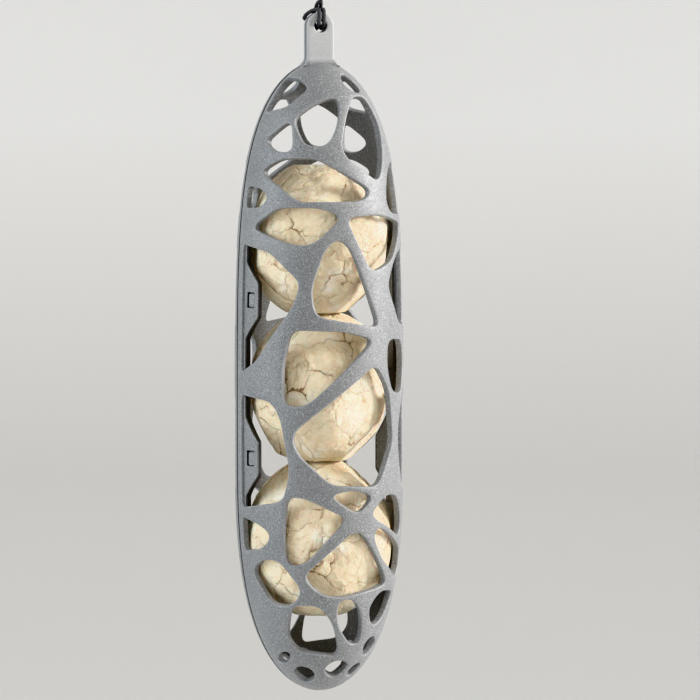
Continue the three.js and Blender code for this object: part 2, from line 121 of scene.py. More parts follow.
# Places across a latch, in degrees round the pod.
LEFT_SEAM = -90.0
PLATE_ROOT = -86.0
PLATE_STRIP = 10.0
PLATE_BULGE = 26.4
WINDOW_FROM_SEAM = 13.0
WINDOW_WIDTH = 10.0
TONGUE_ROOT = 14.0
TONGUE_LIP = -1.0
BARB_BEHIND = 2.6

# Heights of a latch's corners from top to bottom, in percent of the pod's length above or below its widest
# place.
UPPER_LATCH = (52.1, 47.5, 42.0, 32.9, 27.2, 18.2)
LOWER_LATCH = (12.6, 6.7, 0.4, -12.9, -21.6, -25.9)

# The cord.
CORD_RADIUS = 0.95
SEAT_GAP = 0.3
KNOT_ABOVE_TAB = 11.0
KNOT_HEIGHT = 8.0
KNOT_RADIUS = 3.6
LOOP_HEIGHT = 36.0
LOOP_WIDTH = 20.0
HOLE_EASE = 0.4  # how far the strands lie from the hole's upper edge where they enter it
STRAND_SAG = 1.7  # how much lower they lie inside it
CORD_STEP = 0.35
CURVE_STEPS = 60
ROPE_SIDES = 14
ROPE_PLIES = 3
ROPE_TWIST = 5.4  # the length in which a ply goes once round
ROPE_VALLEY = 0.8  # how far out the valleys between the plies lie
ROPE_LOBE = 0.8  # how full a ply is
ROPE_ACROSS = (0.31, 0.95, 0.02)  # a direction that no rope starts along
KNOT_STEPS = 400
KNOT_TURNS = 2
KNOT_LOBES = 3

# Photo's view.
VIEW_AZIMUTH = math.radians(-15.0)
VIEW_ELEVATION = math.radians(2.8)
VIEW_DISTANCE = 1.96
VIEW_HEIGHT = 0.3196
VIEW_TARGET = Vector((0.01367, -0.00366, -0.1475))
SENSOR_WIDTH = 36.0


def new_object(name, data):
    made = bpy.data.objects.new(name, data)
    bpy.context.scene.collection.objects.link(made)
    return made


def look_along(made, direction):
    """Turns a camera or a light to look along a direction."""
    made.rotation_mode = "QUATERNION"
    made.rotation_quaternion = direction.to_track_quat("-Z", "Y")


def shade_smooth(mesh):
    mesh.polygons.foreach_set("use_smooth", np.ones(len(mesh.polygons), bool))


def mesh_of(name, points, faces):
    mesh = bpy.data.meshes.new(name)
    mesh.from_pydata((np.asarray(points, float) * MM).tolist(), [], [list(map(int, f)) for f in faces])
    mesh.validate()
    shade_smooth(mesh)
    mesh.update()
    return mesh


camera_data = bpy.data.cameras.new("photo_camera")
camera_data.sensor_width = SENSOR_WIDTH
camera_data.lens = SENSOR_WIDTH * VIEW_DISTANCE / VIEW_HEIGHT
camera_data.clip_start = 0.1
camera_data.clip_end = 100.0
camera = new_object("photo_camera", camera_data)
back = Vector((
    math.sin(VIEW_AZIMUTH) * math.cos(VIEW_ELEVATION),
    -math.cos(VIEW_AZIMUTH) * math.cos(VIEW_ELEVATION),
    math.sin(VIEW_ELEVATION),
))
camera.location = VIEW_TARGET + back * VIEW_DISTANCE
look_along(camera, -back)
bpy.context.scene.camera = camera

# Colours, as linear shares of red, green and blue.
BLACK = (0.0, 0.0, 0.0)
WHITE = (1.0, 1.0, 1.0)
GREY = (0.16, 0.164, 0.168)
GREY_CLOUD = (0.2, 0.204, 0.207)
PALE_SPECK = (0.33, 0.335, 0.335)
DARK_SPECK = (0.08, 0.083, 0.088)
# the tab face's paler grey: partly its smoother finish, partly a painted sheen
TAB_FINISH_AND_SHEEN_GREY = (0.42, 0.425, 0.42)
# painted highlight: the pale grey of rounded edges where they catch the light
EDGE_HIGHLIGHT_GREY = (0.5, 0.505, 0.505)
# the black of painted shade in grooves, gaps and recesses
PAINTED_SHADE_BLACK = (0.012, 0.012, 0.014)
SUET_TAN = (0.78, 0.62, 0.4)
SUET_CREAM = (0.87, 0.75, 0.54)
SUET_MEAL = (0.91, 0.83, 0.67)
SUET_FAT = (0.94, 0.89, 0.76)
SUET_HUSK = (0.3, 0.17, 0.07)
# painted shade along the cracks and in them
SUET_CRACK_SHADE = (0.6, 0.44, 0.23)
SUET_CRAZE_SHADE = (0.45, 0.3, 0.15)
SUET_SPLIT_SHADE = (0.24, 0.15, 0.07)
CORD_BLACK = (0.01, 0.01, 0.011)
CORD_FIBRE = (0.06, 0.061, 0.063)
CORD_WORN = (0.055, 0.056, 0.06)
BACKDROP_PALE = (0.9, 0.905, 0.91)
BACKDROP_PALER = (0.93, 0.935, 0.94)
FLOOR_GREY = (0.68, 0.675, 0.665)

CRACK_BENDS = 2.2  # how often a crack wanders along one plate
COLOUR_MIX_INPUTS = (0, 6, 7)  # the sockets of a mix node that take its share and its two colours
COLOUR_MIX_OUTPUT = 2


class Nodes:
    """Builds one material's nodes."""

    def __init__(self, name):
        self.material = bpy.data.materials.new(name)
        self.material.use_nodes = True
        self.tree = self.material.node_tree
        self.shader = self.tree.nodes["Principled BSDF"]
        where = self.tree.nodes.new("ShaderNodeTexCoord")
        scaled = self.tree.nodes.new("ShaderNodeMapping")
        scaled.inputs["Scale"].default_value = (1 / MM, 1 / MM, 1 / MM)
        self.link(where.outputs["Object"], scaled.inputs["Vector"])
        self.place = scaled.outputs["Vector"]

    def link(self, a, b):
        self.tree.links.new(a, b)

    def put(self, socket, value):
        """Gives a socket a number or a colour, or links another node's output to it."""
        if isinstance(value, (int, float)):
            socket.default_value = value
        elif isinstance(value, tuple):
            socket.default_value = (*value, 1.0)
        else:
            self.link(value, socket)

    def noise(self, scale, detail=2.0, rough=0.5, offset=None):
        """Noise with features of about 1 / scale millimetres."""
        made = self.tree.nodes.new("ShaderNodeTexNoise")
        made.inputs["Scale"].default_value = scale
        made.inputs["Detail"].default_value = detail
        made.inputs["Roughness"].default_value = rough
        self.link(self.vector("ADD", self.place, offset) if offset else self.place, made.inputs["Vector"])
        return made.outputs["Fac"]

    def vector(self, operation, *values):
        made = self.tree.nodes.new("ShaderNodeVectorMath")
        made.operation = operation
        for socket, value in zip(made.inputs, values):
            if isinstance(value, tuple):
                socket.default_value = value
            else:
                self.link(value, socket)
        return made.outputs["Value" if operation == "DOT_PRODUCT" else "Vector"]

    def plates(self, size, wobble, offset):
        """A surface that has cracked into plates: how far a place is from the nearest crack, in shares of a
        plate's size, and how high it lies as its plate leans."""
        bend = self.tree.nodes.new("ShaderNodeTexNoise")
        bend.inputs["Scale"].default_value = CRACK_BENDS / size
        bend.inputs["Detail"].default_value = 3.0
        self.link(self.place, bend.inputs["Vector"])
        place = self.vector("MULTIPLY_ADD", bend.outputs["Color"], (wobble, wobble, wobble), self.place)
        place = self.vector("ADD", place, offset)
        found = []
        for feature in ("DISTANCE_TO_EDGE", "F1"):
            cells = self.tree.nodes.new("ShaderNodeTexVoronoi")
            cells.feature = feature
            cells.inputs["Scale"].default_value = 1.0 / size
            self.link(place, cells.inputs["Vector"])
            found.append(cells)
        turn = self.vector("SUBTRACT", found[1].outputs["Color"], (0.5, 0.5, 0.5))
        lean = self.vector("DOT_PRODUCT", turn, self.vector("SUBTRACT", place, found[1].outputs["Position"]))
        return found[0].outputs["Distance"], lean

    def below(self, value, limit, soft):
        """One where a value is under a limit, fading to nothing at it."""
        made = self.tree.nodes.new("ShaderNodeMath")
        made.operation = "SUBTRACT"
        self.link(limit, made.inputs[0])
        self.link(value, made.inputs[1])
        return self.span(made.outputs[0], 0.0, soft)

    def attribute(self, name):
        made = self.tree.nodes.new("ShaderNodeAttribute")
        made.attribute_name = name
        return made.outputs["Fac"]

    def ramp(self, value, stops):
        made = self.tree.nodes.new("ShaderNodeValToRGB")
        ramp = made.color_ramp
        while len(ramp.elements) < len(stops):
            ramp.elements.new(0.5)
        for element, (place, colour) in zip(ramp.elements, stops):
            element.position = place
            element.color = (*colour, 1.0)
        self.link(value, made.inputs["Fac"])
        return made.outputs["Color"]

    def span(self, value, low, high, to_low=0.0, to_high=1.0):
        made = self.tree.nodes.new("ShaderNodeMapRange")
        for key, number in zip(("From Min", "From Max", "To Min", "To Max"), (low, high, to_low, to_high)):
            made.inputs[key].default_value = number
        self.link(value, made.inputs["Value"])
        return made.outputs["Result"]

    def mix(self, share, a, b):
        made = self.tree.nodes.new("ShaderNodeMix")
        made.data_type = "RGBA"
        for socket, value in zip(COLOUR_MIX_INPUTS, (share, a, b)):
            self.put(made.inputs[socket], value)
        return made.outputs[COLOUR_MIX_OUTPUT]

    def bump(self, height, distance, strength, after=None):
        made = self.tree.nodes.new("ShaderNodeBump")
        made.inputs["Distance"].default_value = distance * MM
        made.inputs["Strength"].default_value = strength
        self.link(height, made.inputs["Height"])
        if after is not None:
            self.link(after, made.inputs["Normal"])
        return made.outputs["Normal"]

    def set(self, **values):
        for key, value in values.items():
            self.put(self.shader.inputs[key.replace("_", " ")], value)
        return self.material


def plastic_material():
    m = Nodes("speckled_grey_plastic")
    grain = m.noise(1.5, rough=0.6)
    grit = m.noise(2.1, detail=1.0, offset=(31.0, 17.0, 5.0))
    cloud = m.noise(0.035, detail=3.0, rough=0.55)
    pale = m.ramp(grain, [(0.0, BLACK), (0.56, BLACK), (0.66, WHITE)])
    dark = m.ramp(grit, [(0.0, WHITE), (0.33, WHITE), (0.44, BLACK)])
    colour = m.mix(m.span(cloud, 0.3, 0.7), GREY, GREY_CLOUD)
    colour = m.mix(pale, colour, PALE_SPECK)
    colour = m.mix(dark, colour, DARK_SPECK)
    # the tab's paler face: partly its smoother finish, partly a painted sheen where its flat face meets the
    # light
    colour = m.mix(m.span(m.attribute("tab"), 0.0, 1.0, 0.0, 0.7), colour, TAB_FINISH_AND_SHEEN_GREY)
    # painted highlight along the rounded edges, where they face the light
    colour = m.mix(m.span(m.attribute("edge"), 0.0, 1.0, 0.0, 0.6), colour, EDGE_HIGHLIGHT_GREY)
    # painted shade: the seam attribute blackens the groove along the seam, the walls of windows and holes,
    # and the tongues, where shade falls
    colour = m.mix(m.attribute("seam"), colour, PAINTED_SHADE_BLACK)
    rough = m.span(m.noise(0.6, detail=3.0), 0.3, 0.7, 0.44, 0.58)
    normal = m.bump(m.noise(1.1, detail=3.0, rough=0.6, offset=(3.0, 9.0, 27.0)), 0.06, 0.35)
    return m.set(Base_Color=colour, Roughness=rough, Normal=normal, Specular_IOR_Level=0.55)


def suet_material():
    m = Nodes("pressed_suet")
    cloud = m.noise(0.05, detail=4.0, rough=0.6)
    meal = m.noise(0.9, detail=3.0, rough=0.6, offset=(11.0, 3.0, 29.0))
    fat = m.noise(0.07, detail=3.0, rough=0.6, offset=(9.0, 37.0, 15.0))
    specks = m.noise(0.8, detail=1.0, offset=(5.0, 41.0, 13.0))
    husks = m.ramp(specks, [(0.0, WHITE), (0.15, WHITE), (0.19, BLACK)])
    colour = m.mix(m.span(cloud, 0.3, 0.7), SUET_TAN, SUET_CREAM)
    colour = m.mix(m.span(meal, 0.4, 0.75, 0.0, 0.45), colour, SUET_MEAL)
    colour = m.mix(m.span(fat, 0.54, 0.7, 0.0, 0.75), colour, SUET_FAT)
    colour = m.mix(husks, colour, SUET_HUSK)
    broken = m.noise(0.065, offset=(21.0, 9.0, 2.0))
    large, leaning = m.plates(17.0, 9.0, (4.0, 15.0, 8.0))
    small, shifted = m.plates(7.5, 5.0, (17.0, 2.0, 31.0))
    # painted shade: a brown band along the large cracks, and dark lines in the fine and the large cracks
    # where shade falls into them
    crack_shade = m.below(large, m.span(broken, 0.4, 0.65, 0.0, 0.09), 0.25)
    crazed = m.below(small, m.span(broken, 0.5, 0.68, 0.0, 0.03), 0.03)
    split = m.below(large, m.span(broken, 0.46, 0.66, 0.0, 0.025), 0.016)
    colour = m.mix(crack_shade, colour, SUET_CRACK_SHADE)
    colour = m.mix(m.span(crazed, 0.0, 1.0, 0.0, 0.5), colour, SUET_CRAZE_SHADE)
    colour = m.mix(m.span(split, 0.0, 1.0, 0.0, 0.9), colour, SUET_SPLIT_SHADE)
    rough = m.span(meal, 0.3, 0.7, 0.75, 0.95)
    normal = m.bump(m.noise(0.5, detail=5.0, rough=0.65), 0.3, 0.5)
    normal = m.bump(m.noise(0.14, detail=3.0, offset=(2.0, 23.0, 7.0)), 2.8, 0.7, after=normal)
    normal = m.bump(leaning, 0.5, 1.0, after=normal)
    normal = m.bump(shifted, 0.3, 1.0, after=normal)
    normal = m.bump(m.span(large, 0.0, 0.05), 0.6, 0.7, after=normal)
    return m.set(
        Base_Color=colour, Roughness=rough, Normal=normal, Specular_IOR_Level=0.25,
        Subsurface_Weight=0.3, Subsurface_Scale=0.005,
    )


def cord_material():
    m = Nodes("black_braided_cord")
    fibre = m.noise(4.0, detail=3.0, rough=0.6)
    cloud = m.noise(0.5, offset=(7.0, 1.0, 3.0))
    colour = m.mix(m.span(fibre, 0.3, 0.75), CORD_BLACK, CORD_FIBRE)
    colour = m.mix(m.span(cloud, 0.45, 0.8, 0.0, 0.5), colour, CORD_WORN)
    rough = m.span(fibre, 0.3, 0.7, 0.5, 0.75)
    normal = m.bump(fibre, 0.1, 0.5)
    return m.set(Base_Color=colour, Roughness=rough, Normal=normal, Specular_IOR_Level=0.35)


PLASTIC = plastic_material()
SUET = suet_material()
CORD = cord_material()


def dress(piece, material):
    piece.data.materials.clear()
    piece.data.materials.append(material)
    return piece


def smooth_path(points, step):
    """A centripetal Catmull-Rom curve through the points, in steps of one length."""
    p = np.asarray(points, float)
    p = np.vstack([2 * p[0] - p[1], p, 2 * p[-1] - p[-2]])
    fine = []
    for a, b, c, d in zip(p, p[1:], p[2:], p[3:]):
        t = np.cumsum([0.0] + [max(np.linalg.norm(y - x), 1e-6) ** 0.5 for x, y in ((a, b), (b, c), (c, d))])
        s = np.linspace(t[1], t[2], CURVE_STEPS, endpoint=False)[:, None]
        ab = ((t[1] - s) * a + (s - t[0]) * b) / (t[1] - t[0])
        bc = ((t[2] - s) * b + (s - t[1]) * c) / (t[2] - t[1])
        cd = ((t[3] - s) * c + (s - t[2]) * d) / (t[3] - t[2])
        abc = ((t[2] - s) * ab + (s - t[0]) * bc) / (t[2] - t[0])
        bcd = ((t[3] - s) * bc + (s - t[1]) * cd) / (t[3] - t[1])
        fine.append(((t[2] - s) * abc + (s - t[1]) * bcd) / (t[2] - t[1]))
    fine = np.vstack([*fine, p[-2]])
    return evenly(fine, step)


def evenly(line, step):
    along = np.concatenate([[0.0], np.cumsum(np.linalg.norm(np.diff(line, axis=0), axis=1))])
    places = np.linspace(0.0, along[-1], max(4, round(along[-1] / step)) + 1)
    return np.stack([np.interp(places, along, line[:, k]) for k in range(line.shape[1])], axis=1)


def hitch_route():
    """The cord's middle line through the hole, from one tail to the other. It goes as in the part's source,
    and lies a little closer to the tab's shoulders."""
    half = CORD_RADIUS + SEAT_GAP / 2
    bend = CORD_RADIUS + SEAT_GAP
    slant = bend * math.sqrt(0.5)
    strand_y = TAB_FACE_Y + bend
    hole_z = math.sqrt((HOLE_RADIUS - bend) ** 2 - half ** 2) - HOLE_EASE
    over_z = TAB_HALF + bend
    behind_y = strand_y + 2 * CORD_RADIUS + SEAT_GAP
    knot_z = TAB_HALF + KNOT_ABOVE_TAB
    tails = {
        1: [
            (0.4, half, knot_z), (0.9, half, TAB_HALF + 6.3), (half + 0.5, strand_y * 0.5, TAB_HALF + 4),
            (half + 0.7, strand_y - 0.4, TAB_HALF + 2.2),
        ],
        -1: [
            (0.4, -half, knot_z), (0.9, -half, TAB_HALF + 6.4), (-half + 0.6, strand_y * 0.2, TAB_HALF + 4),
            (-half + 0.7, strand_y - 0.9, TAB_HALF + 2.2),
        ],
    }
    shoulders = {
        1: [
            (half, 0, over_z), (1.7, TAB_FACE_Y, over_z - 0.3), (3.2, strand_y, 6.0),
            (3.4, behind_y - 0.5, 4.6),
        ],
        -1: [
            (-half, 0, over_z), (-1.9, TAB_FACE_Y - 1.1, over_z - 0.15), (-3.3, strand_y - 0.6, 6.5),
            (-4.5, strand_y + 0.1, 5.5), (-5.3, strand_y + 0.5, 4.4), (-5.2, behind_y - 0.7, 3.6),
            (-4.0, behind_y - 0.1, 3.5),
        ],
    }

    def strand(side):
        x = side * half
        return tails[side] + [
            (x, strand_y, TAB_HALF),
            (x, strand_y, hole_z + bend),
            (x, TAB_FACE_Y + slant, hole_z + bend - slant),
            (x, TAB_FACE_Y, hole_z),
            (x, 0, hole_z - STRAND_SAG),
            (x, -TAB_FACE_Y, hole_z),
            (x, -TAB_FACE_Y - slant, hole_z + bend - slant),
            (x, -strand_y, hole_z + bend),
            (x, -strand_y, TAB_HALF),
            (x, -TAB_FACE_Y - slant, TAB_HALF + slant),
            (x, -TAB_FACE_Y, over_z),
            *shoulders[side],
        ]

    return strand(1) + [(0, behind_y, 3.8)] + strand(-1)[::-1]


def loop_route():
    """The loop's middle line above the knot, from its left foot to its right one."""
    half = CORD_RADIUS + SEAT_GAP / 2
    low = TAB_HALF + KNOT_ABOVE_TAB + KNOT_HEIGHT + 2 * SEAT_GAP
    side = [
        (half, low),
        (half, low + 2 * CORD_RADIUS),
        (LOOP_WIDTH / 2, low + LOOP_HEIGHT * 0.6),
        (LOOP_WIDTH * 0.32, low + LOOP_HEIGHT * 0.93),
    ]
    left = [(-x, 0, z) for x, z in side]
    right = [(x, 0, z) for x, z in side]
    return left + [(0, 0, low + LOOP_HEIGHT)] + right[::-1]


def rope(line, closed=False):
    """Points and faces of a laid rope along a line: a tube with one lobe for each ply."""
    if closed:
        ahead, behind = np.roll(line, -1, 0), np.roll(line, 1, 0)
    else:
        ahead, behind = np.vstack([line[1:], line[-1]]), np.vstack([line[0], line[:-1]])
    tangent = ahead - behind
    tangent /= np.linalg.norm(tangent, axis=1)[:, None]
    side = np.zeros_like(line)
    across = np.cross(tangent[0], ROPE_ACROSS)
    for i, t in enumerate(tangent):
        across = across - t * (across @ t)
        across /= np.linalg.norm(across)
        side[i] = across
    other = np.cross(tangent, side)
    step = np.linalg.norm(line[1] - line[0])
    angle = np.linspace(0.0, 2 * math.pi, ROPE_SIDES, endpoint=False)
    turn = 2 * math.pi * np.arange(len(line)) * step / ROPE_TWIST
    lobe = np.abs(np.cos(ROPE_PLIES / 2 * (angle[None, :] - turn[:, None])))
    reach = CORD_RADIUS * (ROPE_VALLEY + (1 - ROPE_VALLEY) * lobe ** ROPE_LOBE)
    points = line[:, None] + reach[..., None] * (
        np.cos(angle)[None, :, None] * side[:, None] + np.sin(angle)[None, :, None] * other[:, None]
    )
    rings = len(line)
    faces = []
    for i in range(rings if closed else rings - 1):
        here, there = i * ROPE_SIDES, (i + 1) % rings * ROPE_SIDES
        for k in range(ROPE_SIDES):
            n = (k + 1) % ROPE_SIDES
            faces.append((here + k, here + n, there + n, there + k))
    if not closed:
        faces.append(tuple(range(ROPE_SIDES))[::-1])
        faces.append(tuple((rings - 1) * ROPE_SIDES + k for k in range(ROPE_SIDES)))
    return points.reshape(-1, 3), faces


# The cord's two ends are hidden in the knot.
knot_middle = TAB_HALF + KNOT_ABOVE_TAB + SEAT_GAP + KNOT_HEIGHT / 2
cord_start, cord_end = (-0.6, 0.3, knot_middle), (0.3, -0.8, knot_middle - 0.6)
route = [cord_start, *loop_route(), *hitch_route(), cord_end]
cord_line = smooth_path(route, CORD_STEP)
cord = new_object("cord", mesh_of("cord", *rope(cord_line)))
dress(cord, CORD)

# The knot is a trefoil.
turn = np.linspace(0.0, 2 * math.pi, KNOT_STEPS, endpoint=False)
knot_reach = (KNOT_RADIUS - CORD_RADIUS) * (2.0 + np.cos(KNOT_LOBES * turn)) / 3
knot_line = np.stack([
    knot_reach * np.cos(KNOT_TURNS * turn),
    knot_reach * np.sin(KNOT_TURNS * turn),
    knot_middle + (KNOT_HEIGHT / 2 - CORD_RADIUS) * np.sin(KNOT_LOBES * turn),
], axis=1)
knot = new_object("knot", mesh_of("knot", *rope(knot_line, closed=True)))
dress(knot, CORD)
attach(knot, "back_half")
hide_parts("cord_knot")
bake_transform(cord)
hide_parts("hanging_cord", "hanging_loop")


def pod_radius(z):
    """How far out the skin is at a height."""
    above = np.asarray(z, float) - WIDEST_Z
    share = np.where(
        above > 0,
        np.clip(above / UPPER_LENGTH, 0, 1) ** UPPER_FULLNESS,
        np.clip(-above / LOWER_LENGTH, 0, 1) ** LOWER_FULLNESS,
    )
    return POD_RADIUS * np.sqrt(np.clip(1 - share, 0, None))


# The pod's profile: heights, how far out the skin is there, its length from the widest place, and which way
# it faces.
quarter = np.linspace(0, math.pi / 2, PROFILE_END_STEPS)
levels = np.unique(np.concatenate([
    WIDEST_Z + UPPER_LENGTH * np.sin(quarter) ** (2 / UPPER_FULLNESS),
    WIDEST_Z - LOWER_LENGTH * np.sin(quarter) ** (2 / LOWER_FULLNESS),
    np.linspace(BOTTOM_Z, TOP_Z, PROFILE_STEPS),
]).round(6))
radii = pod_radius(levels)
rises = np.hypot(np.diff(levels), np.diff(radii))
lengths = np.concatenate([[0.0], np.cumsum(rises)])
lengths -= np.interp(WIDEST_Z, levels, lengths)
outward_r = np.gradient(levels, lengths)
outward_z = -np.gradient(radii, lengths)


def unrolled(degrees, z):
    """A place on the skin as a point of the flat sheet: millimetres round the pod and along its profile."""
    z = np.asarray(z, float)
    width = np.maximum(pod_radius(z), POLE_RADIUS)
    return np.stack([np.radians(degrees) * width, np.interp(z, levels, lengths)], axis=-1)


def wrapped(flat, depth):
    """Points of the flat sheet at a depth below the skin, bent round the pod."""
    z = np.interp(flat[:, 1], lengths, levels)
    radius = np.interp(flat[:, 1], lengths, radii)
    angle = flat[:, 0] / np.maximum(radius, POLE_RADIUS)
    reach = np.maximum(radius - depth * np.interp(flat[:, 1], lengths, outward_r), 0.0)
    height = z - depth * np.interp(flat[:, 1], lengths, outward_z)
    return np.stack([reach * np.sin(angle), -reach * np.cos(angle), height], axis=1)


def bent(flat, depth):
    """The same for the front half, which stops at the seam and stands a little forward of it."""
    half_way = math.pi / 2 * np.maximum(np.interp(flat[:, 1], lengths, radii), POLE_RADIUS)
    flat = np.stack([np.clip(flat[:, 0], -half_way, half_way), flat[:, 1]], axis=1)
    return wrapped(flat, depth) - (0.0, SEAM_SHIFT, 0.0)


def height_at(percent):
    return WIDEST_Z + percent / 100 * (UPPER_LENGTH if percent > 0 else LOWER_LENGTH)


def opening_loops(node):
    """The outlines of the openings in a CAD shell's outer skin, unrolled."""
    bm = bmesh.new()
    bm.from_mesh(node.data)
    bmesh.ops.remove_doubles(bm, verts=bm.verts, dist=1e-6)
    bm.verts.ensure_lookup_table()
    co = np.array([v.co for v in bm.verts]) / MM
    co[:, 1] += SEAM_SHIFT
    off = np.abs(np.hypot(co[:, 0], co[:, 1]) - pod_radius(co[:, 2]))
    on_skin = off * np.interp(co[:, 2], levels, outward_r) < NEAR_SKIN
    skin = {f for f in bm.faces if all(on_skin[v.index] for v in f.verts)}
    after = {}
    for edge in bm.edges:
        inside = [f for f in edge.link_faces if f in skin]
        if len(inside) != 1:
            continue
        for loop in inside[0].loops:
            if loop.edge == edge:
                after[loop.vert.index] = loop.link_loop_next.vert.index
    loops = []
    while after:
        start, ring = next(iter(after)), []
        here = start
        while here in after:
            ring.append(here)
            here = after.pop(here)
        degrees = np.degrees(np.arctan2(co[ring, 0], -co[ring, 1]))
        loops.append(unrolled(degrees, co[ring, 2]))
    bm.free()
    loops.sort(key=lambda ring: -np.ptp(ring[:, 1]))
    return loops[1:]


def softened(ring, step, times):
    """A closed outline in even steps, with its corners eased a number of times."""
    even = evenly(np.vstack([ring, ring[:1]]), step)[:-1]
    for _ in range(times):
        even = 0.5 * even + 0.25 * (np.roll(even, 1, 0) + np.roll(even, -1, 0))
    return even


def ring_area(ring):
    x, y = ring.T
    return 0.5 * float(np.sum(x * np.roll(y, -1) - np.roll(x, -1) * y))


def inset(ring, amount):
    """An outline moved to its left by an amount."""
    along = np.roll(ring, -1, 0) - np.roll(ring, 1, 0)
    along /= np.maximum(np.linalg.norm(along, axis=1), 1e-9)[:, None]
    return ring + amount * np.stack([-along[:, 1], along[:, 0]], axis=1)


def within(points, ring):
    """Which points lie inside an outline."""
    x, y = points[:, :1], points[:, 1:]
    ax, ay = ring.T
    bx, by = np.roll(ring, -1, 0).T
    crosses = (ay[None] > y) != (by[None] > y)
    with np.errstate(divide="ignore", invalid="ignore"):
        at = ax[None] + (y - ay[None]) / (by - ay)[None] * (bx - ax)[None]
    return (np.where(crosses, x < at, False).sum(1) % 2) == 1


ROW_PITCH = 0.866  # how far apart the rows of a skin's inner points lie, in shares of their spacing
EDGE_CLEAR = 0.55  # how near to an edge they come


def filled(rings, spacing):
    """Triangles that fill the first ring but not the others, with inner points a spacing apart."""
    low, high = rings[0].min(0), rings[0].max(0)
    rows = np.arange(low[1], high[1], spacing * ROW_PITCH)
    grid = np.array([
        (x + (spacing / 2 if i % 2 else 0.0), y)
        for i, y in enumerate(rows) for x in np.arange(low[0], high[0], spacing)
    ])
    edge = np.vstack(rings)
    keep = within(grid, rings[0])
    for ring in rings[1:]:
        keep &= ~within(grid, ring)
    grid = grid[keep]
    if len(grid):
        far = np.array([np.min(np.sum((edge - p) ** 2, axis=1)) for p in grid])
        grid = grid[far > (EDGE_CLEAR * spacing) ** 2]
    points = np.vstack([edge, grid])
    borders, first = [], 0
    for ring in rings:
        n = len(ring)
        borders += [(first + i, first + (i + 1) % n) for i in range(n)]
        first += n
    out = delaunay_2d_cdt([Vector(p) for p in points], borders, [], 0, 1e-6, True)
    came = [ids[0] if ids else -1 for ids in out[3]]
    triangles = np.array([[came[i] for i in f] for f in out[2] if len(f) == 3])
    triangles = triangles[(triangles >= 0).all(1)]
    middle = points[triangles].mean(1)
    inside = within(middle, rings[0])
    for ring in rings[1:]:
        inside &= ~within(middle, ring)
    triangles = triangles[inside]
    a, b, c = (points[triangles[:, k]] for k in range(3))
    turned = (b - a)[:, 0] * (c - a)[:, 1] - (b - a)[:, 1] * (c - a)[:, 0]
    triangles[turned < 0] = triangles[turned < 0][:, ::-1]
    return points, triangles


# How much painted shade the rows of an edge get, from the outer skin to the inner one, and how much painted
# highlight.
PLAIN = (0.0,)
PAINTED_SHADE_WALL = (0.0, 0.0, 0.3, 0.8, 1.0)
PAINTED_SHADE_EDGE = (0.0, 0.0, 0.1, 0.3, 0.6, 1.0)
PAINTED_SHADE_SEAM = (0.0, 0.2, 0.7, 1.0, 1.0, 1.0, 1.0, 0.0)
PAINTED_SHADE_LIP = (0.7, 1.0)
# painted highlight on each row of a rounded edge, where the rounding catches the light
EDGE_HIGHLIGHT = (0.0, 1.0, 1.0, 0.8, 0.3, 0.0)
HOLE_HIGHLIGHT = 0.2  # how much of that painted highlight shows away from the seam
EDGE_STEPS = 4


def edge_rows(thickness, outer, inner):
    """How far in from its outline, and how deep, each row of a sheet's rounded edge lies."""
    quarter = np.linspace(0, math.pi / 2, EDGE_STEPS + 1)
    upper = [(outer * (1 - math.sin(a)), outer * (1 - math.cos(a))) for a in quarter]
    lower = [(inner * (1 - math.sin(a)), thickness - inner * (1 - math.cos(a))) for a in quarter[::-1]]
    return upper + lower


def groove_rows():
    """The same for a shell's edge along the seam, which is stepped so that the two halves leave a groove."""
    rounding, cut = GROOVE_ROUNDING, 0.3 * GROOVE_ROUNDING
    upper = edge_rows(WALL, rounding, rounding)[:EDGE_STEPS + 1]
    step = [(0.0, GROOVE_DEPTH), (-GROOVE_HALF, GROOVE_DEPTH), (-GROOVE_HALF, WALL - rounding)]
    inner = [(cut - GROOVE_HALF, WALL - cut), (rounding - GROOVE_HALF, WALL)]
    return [(GROOVE_HALF + inward, deep) for inward, deep in upper + step + inner]


def held(values, k):
    """One of some values, or the last of them beyond their end."""
    return values[min(k, len(values) - 1)]


